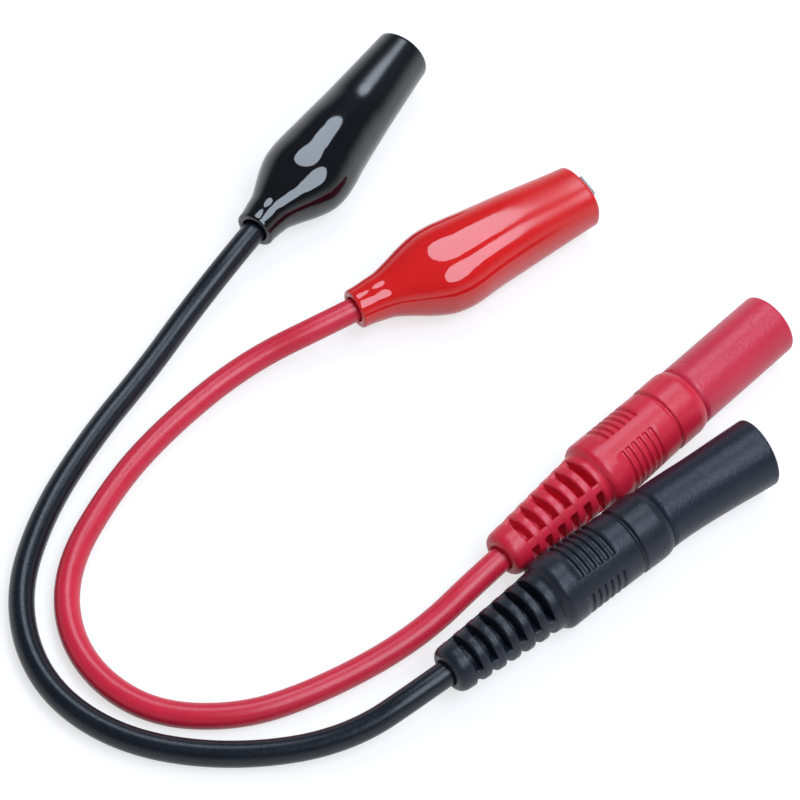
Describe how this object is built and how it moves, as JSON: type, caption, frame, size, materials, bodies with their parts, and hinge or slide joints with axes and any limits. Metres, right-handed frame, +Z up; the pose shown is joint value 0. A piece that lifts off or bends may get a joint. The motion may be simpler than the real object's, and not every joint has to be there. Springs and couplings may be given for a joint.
{
  "type": "test lead pair",
  "caption": "Short test leads in red and black, each with a booted alligator clip, a round cable and a shrouded 4 mm plug with a slotted strain relief.",
  "frame": {"origin": "middle of the clips' and plugs' box, on the table that the leads lie on", "axes": "+Z up from the table, +X to the right and +Y away as the picture sees them"},
  "size_m": [0.0974, 0.1083, 0.0096],
  "materials": {
    "red_boot": "gloss",
    "red_cable": "satin",
    "red_grip": "satin",
    "red_shroud": "matte",
    "black_boot": "gloss",
    "black_cable": "satin",
    "black_grip": "satin",
    "black_shroud": "matte",
    "steel": "plated",
    "spring_steel": "drawn",
    "brass": "turned, plated",
    "spring_brass": "plated",
    "copper": "bare"
  },
  "bodies": {
    "red_lead": {"red_cable": "red_cable", "red_core": "copper", "red_clip_boot": "red_boot", "red_fixed_jaw": "steel", "red_jaw_pin": "steel", "red_jaw_spring": "spring_steel", "red_plug_grip": "red_grip", "red_plug_shroud": "red_shroud", "red_plug_contact": "brass", "red_contact_spring": "spring_brass"},
    "red_jaw": {"red_moving_jaw": "steel"},
    "black_lead": {"black_cable": "black_cable", "black_core": "copper", "black_clip_boot": "black_boot", "black_fixed_jaw": "steel", "black_jaw_pin": "steel", "black_jaw_spring": "spring_steel", "black_plug_grip": "black_grip", "black_plug_shroud": "black_shroud", "black_plug_contact": "brass", "black_contact_spring": "spring_brass"},
    "black_jaw": {"black_moving_jaw": "steel"}
  },
  "joints": [
    {"name": "red_jaw_hinge", "type": "hinge", "parent": "red_lead", "child": "red_jaw", "pos_m": [-0.00356, 0.01518, 0.0048], "axis": [0, 0, -1], "range_deg": [0, 20], "stiffness_Nm_per_rad": 0.03, "springref_deg": -68.75, "deforming": ["red_clip_boot", "red_jaw_spring"]},
    {"name": "black_lead_lift", "type": "slide", "parent": "red_lead", "child": "black_lead", "axis": [0, 0, 1], "range_m": [0, 0.1]},
    {"name": "black_jaw_hinge", "type": "hinge", "parent": "black_lead", "child": "black_jaw", "pos_m": [-0.02294, 0.03349, 0.0048], "axis": [0, 0, -1], "range_deg": [0, 20], "stiffness_Nm_per_rad": 0.03, "springref_deg": -68.75, "deforming": ["black_clip_boot", "black_jaw_spring"]}
  ]
}
